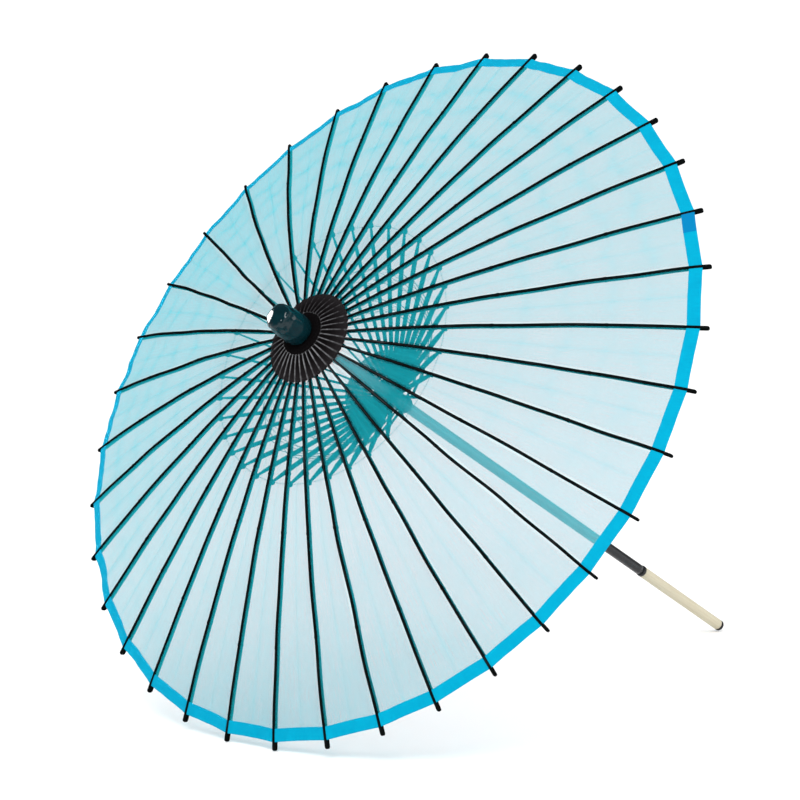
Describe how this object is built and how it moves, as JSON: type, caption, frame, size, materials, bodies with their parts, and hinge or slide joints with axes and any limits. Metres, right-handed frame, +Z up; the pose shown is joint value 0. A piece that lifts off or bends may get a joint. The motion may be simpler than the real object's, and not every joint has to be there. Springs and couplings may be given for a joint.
{
  "type": "folding parasol",
  "caption": "Open folding parasol with a sheer cloth canopy on slender ribs, a pleated hood and knob on top, and a long straight shaft with a wooden handle.",
  "frame": {"origin": "on the ground, at the middle of the open parasol's bounding box in X and Y", "axes": "+Z up; the shaft lies in the X-Z plane and slopes down towards its handle end at +X; +Y is across the canopy's width"},
  "size_m": [0.7822, 0.8154, 0.6984],
  "materials": {
    "black_lacquer": "gloss lacquer",
    "finial_black": "high gloss lacquer",
    "black_rib": "satin",
    "pale_wood": "satin",
    "cyan_cloth": "sheer",
    "blue_band": "matte",
    "black_cloth": "matte",
    "black_thread": "matte",
    "spring_steel": "satin"
  },
  "bodies": {
    "frame": {"shaft": "black_lacquer", "joint_collar": "black_lacquer", "handle": "pale_wood", "end_cap": "black_lacquer", "top_hub": "pale_wood", "hub_thread": "black_thread", "finial": "finial_black", "hood": "black_cloth", "canopy": "cyan_cloth", "edge_band": "blue_band"},
    "runner": {"runner": "black_lacquer"},
    "spring_catch": {"spring_catch": "spring_steel"},
    "rib_01": {"rib_01": "black_rib"},
    "rib_02": {"rib_02": "black_rib"},
    "rib_03": {"rib_03": "black_rib"},
    "rib_04": {"rib_04": "black_rib"},
    "rib_05": {"rib_05": "black_rib"},
    "rib_06": {"rib_06": "black_rib"},
    "rib_07": {"rib_07": "black_rib"},
    "rib_08": {"rib_08": "black_rib"},
    "rib_09": {"rib_09": "black_rib"},
    "rib_10": {"rib_10": "black_rib"},
    "rib_11": {"rib_11": "black_rib"},
    "rib_12": {"rib_12": "black_rib"},
    "rib_13": {"rib_13": "black_rib"},
    "rib_14": {"rib_14": "black_rib"},
    "rib_15": {"rib_15": "black_rib"},
    "rib_16": {"rib_16": "black_rib"},
    "rib_17": {"rib_17": "black_rib"},
    "rib_18": {"rib_18": "black_rib"},
    "rib_19": {"rib_19": "black_rib"},
    "rib_20": {"rib_20": "black_rib"},
    "rib_21": {"rib_21": "black_rib"},
    "rib_22": {"rib_22": "black_rib"},
    "rib_23": {"rib_23": "black_rib"},
    "rib_24": {"rib_24": "black_rib"},
    "rib_25": {"rib_25": "black_rib"},
    "rib_26": {"rib_26": "black_rib"},
    "rib_27": {"rib_27": "black_rib"},
    "rib_28": {"rib_28": "black_rib"},
    "rib_29": {"rib_29": "black_rib"},
    "rib_30": {"rib_30": "black_rib"},
    "rib_31": {"rib_31": "black_rib"},
    "rib_32": {"rib_32": "black_rib"},
    "rib_33": {"rib_33": "black_rib"},
    "rib_34": {"rib_34": "black_rib"},
    "rib_35": {"rib_35": "black_rib"},
    "rib_36": {"rib_36": "black_rib"},
    "stretcher_02": {"stretcher_02": "black_rib"},
    "stretcher_05": {"stretcher_05": "black_rib"},
    "stretcher_08": {"stretcher_08": "black_rib"},
    "stretcher_11": {"stretcher_11": "black_rib"},
    "stretcher_14": {"stretcher_14": "black_rib"},
    "stretcher_17": {"stretcher_17": "black_rib"},
    "stretcher_20": {"stretcher_20": "black_rib"},
    "stretcher_23": {"stretcher_23": "black_rib"},
    "stretcher_26": {"stretcher_26": "black_rib"},
    "stretcher_29": {"stretcher_29": "black_rib"},
    "stretcher_32": {"stretcher_32": "black_rib"},
    "stretcher_35": {"stretcher_35": "black_rib"}
  },
  "joints": [
    {"name": "runner_slide", "type": "slide", "parent": "frame", "child": "runner", "axis": [0.8551, 0, -0.5184], "range_m": [0, 0.1662], "deforming": ["canopy", "edge_band", "hood", "spring_catch"]},
    {"name": "catch_press", "type": "hinge", "parent": "frame", "child": "spring_catch", "pos_m": [-0.1089, 0, 0.31128], "axis": [0, -1, 0], "range_deg": [0, 4.2], "stiffness_Nm_per_rad": 2.5},
    {"name": "rib_01_hinge", "type": "hinge", "parent": "frame", "child": "rib_01", "pos_m": [-0.30134, -0.00148, 0.40394], "axis": [0.0452, -0.9962, 0.0745], "range_deg": [0, 70]},
    {"name": "rib_02_hinge", "type": "hinge", "parent": "frame", "child": "rib_02", "pos_m": [-0.30107, -0.0044, 0.40438], "axis": [0.1342, -0.9659, 0.2213], "range_deg": [0, 70]},
    {"name": "rib_03_hinge", "type": "hinge", "parent": "frame", "child": "rib_03", "pos_m": [-0.30055, -0.00719, 0.40525], "axis": [0.2191, -0.9063, 0.3614], "range_deg": [0, 70]},
    {"name": "rib_04_hinge", "type": "hinge", "parent": "frame", "child": "rib_04", "pos_m": [-0.29978, -0.00975, 0.40651], "axis": [0.2974, -0.8192, 0.4905], "range_deg": [0, 70]},
    {"name": "rib_05_hinge", "type": "hinge", "parent": "frame", "child": "rib_05", "pos_m": [-0.29879, -0.01202, 0.40814], "axis": [0.3666, -0.7071, 0.6047], "range_deg": [0, 70]},
    {"name": "rib_06_hinge", "type": "hinge", "parent": "frame", "child": "rib_06", "pos_m": [-0.29762, -0.01393, 0.41008], "axis": [0.4247, -0.5736, 0.7005], "range_deg": [0, 70]},
    {"name": "rib_07_hinge", "type": "hinge", "parent": "frame", "child": "rib_07", "pos_m": [-0.29629, -0.01541, 0.41228], "axis": [0.4699, -0.4226, 0.775], "range_deg": [0, 70]},
    {"name": "rib_08_hinge", "type": "hinge", "parent": "frame", "child": "rib_08", "pos_m": [-0.29484, -0.01642, 0.41466], "axis": [0.5008, -0.2588, 0.826], "range_deg": [0, 70]},
    {"name": "rib_09_hinge", "type": "hinge", "parent": "frame", "child": "rib_09", "pos_m": [-0.29333, -0.01693, 0.41715], "axis": [0.5165, -0.0872, 0.8519], "range_deg": [0, 70]},
    {"name": "rib_10_hinge", "type": "hinge", "parent": "frame", "child": "rib_10", "pos_m": [-0.29179, -0.01693, 0.41969], "axis": [0.5165, 0.0872, 0.8519], "range_deg": [0, 70]},
    {"name": "rib_11_hinge", "type": "hinge", "parent": "frame", "child": "rib_11", "pos_m": [-0.29028, -0.01642, 0.42218], "axis": [0.5008, 0.2588, 0.826], "range_deg": [0, 70]},
    {"name": "rib_12_hinge", "type": "hinge", "parent": "frame", "child": "rib_12", "pos_m": [-0.28884, -0.01541, 0.42457], "axis": [0.4699, 0.4226, 0.775], "range_deg": [0, 70]},
    {"name": "rib_13_hinge", "type": "hinge", "parent": "frame", "child": "rib_13", "pos_m": [-0.28751, -0.01393, 0.42676], "axis": [0.4247, 0.5736, 0.7005], "range_deg": [0, 70]},
    {"name": "rib_14_hinge", "type": "hinge", "parent": "frame", "child": "rib_14", "pos_m": [-0.28633, -0.01202, 0.4287], "axis": [0.3666, 0.7071, 0.6047], "range_deg": [0, 70]},
    {"name": "rib_15_hinge", "type": "hinge", "parent": "frame", "child": "rib_15", "pos_m": [-0.28534, -0.00975, 0.43033], "axis": [0.2974, 0.8192, 0.4905], "range_deg": [0, 70]},
    {"name": "rib_16_hinge", "type": "hinge", "parent": "frame", "child": "rib_16", "pos_m": [-0.28457, -0.00719, 0.4316], "axis": [0.2191, 0.9063, 0.3614], "range_deg": [0, 70]},
    {"name": "rib_17_hinge", "type": "hinge", "parent": "frame", "child": "rib_17", "pos_m": [-0.28405, -0.0044, 0.43246], "axis": [0.1342, 0.9659, 0.2213], "range_deg": [0, 70]},
    {"name": "rib_18_hinge", "type": "hinge", "parent": "frame", "child": "rib_18", "pos_m": [-0.28378, -0.00148, 0.4329], "axis": [0.0452, 0.9962, 0.0745], "range_deg": [0, 70]},
    {"name": "rib_19_hinge", "type": "hinge", "parent": "frame", "child": "rib_19", "pos_m": [-0.28378, 0.00148, 0.4329], "axis": [-0.0452, 0.9962, -0.0745], "range_deg": [0, 70]},
    {"name": "rib_20_hinge", "type": "hinge", "parent": "frame", "child": "rib_20", "pos_m": [-0.28405, 0.0044, 0.43246], "axis": [-0.1342, 0.9659, -0.2213], "range_deg": [0, 70]},
    {"name": "rib_21_hinge", "type": "hinge", "parent": "frame", "child": "rib_21", "pos_m": [-0.28457, 0.00719, 0.4316], "axis": [-0.2191, 0.9063, -0.3614], "range_deg": [0, 70]},
    {"name": "rib_22_hinge", "type": "hinge", "parent": "frame", "child": "rib_22", "pos_m": [-0.28534, 0.00975, 0.43033], "axis": [-0.2974, 0.8192, -0.4905], "range_deg": [0, 70]},
    {"name": "rib_23_hinge", "type": "hinge", "parent": "frame", "child": "rib_23", "pos_m": [-0.28633, 0.01202, 0.4287], "axis": [-0.3666, 0.7071, -0.6047], "range_deg": [0, 70]},
    {"name": "rib_24_hinge", "type": "hinge", "parent": "frame", "child": "rib_24", "pos_m": [-0.28751, 0.01393, 0.42676], "axis": [-0.4247, 0.5736, -0.7005], "range_deg": [0, 70]},
    {"name": "rib_25_hinge", "type": "hinge", "parent": "frame", "child": "rib_25", "pos_m": [-0.28884, 0.01541, 0.42457], "axis": [-0.4699, 0.4226, -0.775], "range_deg": [0, 70]},
    {"name": "rib_26_hinge", "type": "hinge", "parent": "frame", "child": "rib_26", "pos_m": [-0.29028, 0.01642, 0.42218], "axis": [-0.5008, 0.2588, -0.826], "range_deg": [0, 70]},
    {"name": "rib_27_hinge", "type": "hinge", "parent": "frame", "child": "rib_27", "pos_m": [-0.29179, 0.01693, 0.41969], "axis": [-0.5165, 0.0872, -0.8519], "range_deg": [0, 70]},
    {"name": "rib_28_hinge", "type": "hinge", "parent": "frame", "child": "rib_28", "pos_m": [-0.29333, 0.01693, 0.41715], "axis": [-0.5165, -0.0872, -0.8519], "range_deg": [0, 70]},
    {"name": "rib_29_hinge", "type": "hinge", "parent": "frame", "child": "rib_29", "pos_m": [-0.29484, 0.01642, 0.41466], "axis": [-0.5008, -0.2588, -0.826], "range_deg": [0, 70]},
    {"name": "rib_30_hinge", "type": "hinge", "parent": "frame", "child": "rib_30", "pos_m": [-0.29629, 0.01541, 0.41228], "axis": [-0.4699, -0.4226, -0.775], "range_deg": [0, 70]},
    {"name": "rib_31_hinge", "type": "hinge", "parent": "frame", "child": "rib_31", "pos_m": [-0.29762, 0.01393, 0.41008], "axis": [-0.4247, -0.5736, -0.7005], "range_deg": [0, 70]},
    {"name": "rib_32_hinge", "type": "hinge", "parent": "frame", "child": "rib_32", "pos_m": [-0.29879, 0.01202, 0.40814], "axis": [-0.3666, -0.7071, -0.6047], "range_deg": [0, 70]},
    {"name": "rib_33_hinge", "type": "hinge", "parent": "frame", "child": "rib_33", "pos_m": [-0.29978, 0.00975, 0.40651], "axis": [-0.2974, -0.8192, -0.4905], "range_deg": [0, 70]},
    {"name": "rib_34_hinge", "type": "hinge", "parent": "frame", "child": "rib_34", "pos_m": [-0.30055, 0.00719, 0.40525], "axis": [-0.2191, -0.9063, -0.3614], "range_deg": [0, 70]},
    {"name": "rib_35_hinge", "type": "hinge", "parent": "frame", "child": "rib_35", "pos_m": [-0.30107, 0.0044, 0.40438], "axis": [-0.1342, -0.9659, -0.2213], "range_deg": [0, 70]},
    {"name": "rib_36_hinge", "type": "hinge", "parent": "frame", "child": "rib_36", "pos_m": [-0.30134, 0.00148, 0.40394], "axis": [-0.0452, -0.9962, -0.0745], "range_deg": [0, 70]},
    {"name": "stretcher_02_hinge", "type": "hinge", "parent": "rib_02", "child": "stretcher_02", "pos_m": [-0.33153, -0.03879, 0.27275], "axis": [0.1342, -0.9659, 0.2213], "range_deg": [-121.1, 0]},
    {"name": "stretcher_05_hinge", "type": "hinge", "parent": "rib_05", "child": "stretcher_05", "pos_m": [-0.31142, -0.10598, 0.30592], "axis": [0.3666, -0.7071, 0.6047], "range_deg": [-121.1, 0]},
    {"name": "stretcher_08_hinge", "type": "hinge", "parent": "rib_08", "child": "stretcher_08", "pos_m": [-0.27658, -0.14477, 0.36337], "axis": [0.5008, -0.2588, 0.826], "range_deg": [-121.1, 0]},
    {"name": "stretcher_11_hinge", "type": "hinge", "parent": "rib_11", "child": "stretcher_11", "pos_m": [-0.23636, -0.14477, 0.42971], "axis": [0.5008, 0.2588, 0.826], "range_deg": [-121.1, 0]},
    {"name": "stretcher_14_hinge", "type": "hinge", "parent": "rib_14", "child": "stretcher_14", "pos_m": [-0.20153, -0.10598, 0.48716], "axis": [0.3666, 0.7071, 0.6047], "range_deg": [-121.1, 0]},
    {"name": "stretcher_17_hinge", "type": "hinge", "parent": "rib_17", "child": "stretcher_17", "pos_m": [-0.18142, -0.03879, 0.52033], "axis": [0.1342, 0.9659, 0.2213], "range_deg": [-121.1, 0]},
    {"name": "stretcher_20_hinge", "type": "hinge", "parent": "rib_20", "child": "stretcher_20", "pos_m": [-0.18142, 0.03879, 0.52033], "axis": [-0.1342, 0.9659, -0.2213], "range_deg": [-121.1, 0]},
    {"name": "stretcher_23_hinge", "type": "hinge", "parent": "rib_23", "child": "stretcher_23", "pos_m": [-0.20153, 0.10598, 0.48716], "axis": [-0.3666, 0.7071, -0.6047], "range_deg": [-121.1, 0]},
    {"name": "stretcher_26_hinge", "type": "hinge", "parent": "rib_26", "child": "stretcher_26", "pos_m": [-0.23636, 0.14477, 0.42971], "axis": [-0.5008, 0.2588, -0.826], "range_deg": [-121.1, 0]},
    {"name": "stretcher_29_hinge", "type": "hinge", "parent": "rib_29", "child": "stretcher_29", "pos_m": [-0.27658, 0.14477, 0.36337], "axis": [-0.5008, -0.2588, -0.826], "range_deg": [-121.1, 0]},
    {"name": "stretcher_32_hinge", "type": "hinge", "parent": "rib_32", "child": "stretcher_32", "pos_m": [-0.31142, 0.10598, 0.30592], "axis": [-0.3666, -0.7071, -0.6047], "range_deg": [-121.1, 0]},
    {"name": "stretcher_35_hinge", "type": "hinge", "parent": "rib_35", "child": "stretcher_35", "pos_m": [-0.33153, 0.03879, 0.27275], "axis": [-0.1342, -0.9659, -0.2213], "range_deg": [-121.1, 0]}
  ],
  "couplings": [
    {"joint": "rib_01_hinge", "follows": "runner_slide", "rad_per_m": 7.3509},
    {"joint": "rib_02_hinge", "follows": "runner_slide", "rad_per_m": 7.3509},
    {"joint": "rib_03_hinge", "follows": "runner_slide", "rad_per_m": 7.3509},
    {"joint": "rib_04_hinge", "follows": "runner_slide", "rad_per_m": 7.3509},
    {"joint": "rib_05_hinge", "follows": "runner_slide", "rad_per_m": 7.3509},
    {"joint": "rib_06_hinge", "follows": "runner_slide", "rad_per_m": 7.3509},
    {"joint": "rib_07_hinge", "follows": "runner_slide", "rad_per_m": 7.3509},
    {"joint": "rib_08_hinge", "follows": "runner_slide", "rad_per_m": 7.3509},
    {"joint": "rib_09_hinge", "follows": "runner_slide", "rad_per_m": 7.3509},
    {"joint": "rib_10_hinge", "follows": "runner_slide", "rad_per_m": 7.3509},
    {"joint": "rib_11_hinge", "follows": "runner_slide", "rad_per_m": 7.3509},
    {"joint": "rib_12_hinge", "follows": "runner_slide", "rad_per_m": 7.3509},
    {"joint": "rib_13_hinge", "follows": "runner_slide", "rad_per_m": 7.3509},
    {"joint": "rib_14_hinge", "follows": "runner_slide", "rad_per_m": 7.3509},
    {"joint": "rib_15_hinge", "follows": "runner_slide", "rad_per_m": 7.3509},
    {"joint": "rib_16_hinge", "follows": "runner_slide", "rad_per_m": 7.3509},
    {"joint": "rib_17_hinge", "follows": "runner_slide", "rad_per_m": 7.3509},
    {"joint": "rib_18_hinge", "follows": "runner_slide", "rad_per_m": 7.3509},
    {"joint": "rib_19_hinge", "follows": "runner_slide", "rad_per_m": 7.3509},
    {"joint": "rib_20_hinge", "follows": "runner_slide", "rad_per_m": 7.3509},
    {"joint": "rib_21_hinge", "follows": "runner_slide", "rad_per_m": 7.3509},
    {"joint": "rib_22_hinge", "follows": "runner_slide", "rad_per_m": 7.3509},
    {"joint": "rib_23_hinge", "follows": "runner_slide", "rad_per_m": 7.3509},
    {"joint": "rib_24_hinge", "follows": "runner_slide", "rad_per_m": 7.3509},
    {"joint": "rib_25_hinge", "follows": "runner_slide", "rad_per_m": 7.3509},
    {"joint": "rib_26_hinge", "follows": "runner_slide", "rad_per_m": 7.3509},
    {"joint": "rib_27_hinge", "follows": "runner_slide", "rad_per_m": 7.3509},
    {"joint": "rib_28_hinge", "follows": "runner_slide", "rad_per_m": 7.3509},
    {"joint": "rib_29_hinge", "follows": "runner_slide", "rad_per_m": 7.3509},
    {"joint": "rib_30_hinge", "follows": "runner_slide", "rad_per_m": 7.3509},
    {"joint": "rib_31_hinge", "follows": "runner_slide", "rad_per_m": 7.3509},
    {"joint": "rib_32_hinge", "follows": "runner_slide", "rad_per_m": 7.3509},
    {"joint": "rib_33_hinge", "follows": "runner_slide", "rad_per_m": 7.3509},
    {"joint": "rib_34_hinge", "follows": "runner_slide", "rad_per_m": 7.3509},
    {"joint": "rib_35_hinge", "follows": "runner_slide", "rad_per_m": 7.3509},
    {"joint": "rib_36_hinge", "follows": "runner_slide", "rad_per_m": 7.3509},
    {"joint": "stretcher_02_hinge", "follows": "runner_slide", "rad_per_m": -12.716},
    {"joint": "stretcher_05_hinge", "follows": "runner_slide", "rad_per_m": -12.716},
    {"joint": "stretcher_08_hinge", "follows": "runner_slide", "rad_per_m": -12.716},
    {"joint": "stretcher_11_hinge", "follows": "runner_slide", "rad_per_m": -12.716},
    {"joint": "stretcher_14_hinge", "follows": "runner_slide", "rad_per_m": -12.716},
    {"joint": "stretcher_17_hinge", "follows": "runner_slide", "rad_per_m": -12.716},
    {"joint": "stretcher_20_hinge", "follows": "runner_slide", "rad_per_m": -12.716},
    {"joint": "stretcher_23_hinge", "follows": "runner_slide", "rad_per_m": -12.716},
    {"joint": "stretcher_26_hinge", "follows": "runner_slide", "rad_per_m": -12.716},
    {"joint": "stretcher_29_hinge", "follows": "runner_slide", "rad_per_m": -12.716},
    {"joint": "stretcher_32_hinge", "follows": "runner_slide", "rad_per_m": -12.716},
    {"joint": "stretcher_35_hinge", "follows": "runner_slide", "rad_per_m": -12.716}
  ]
}
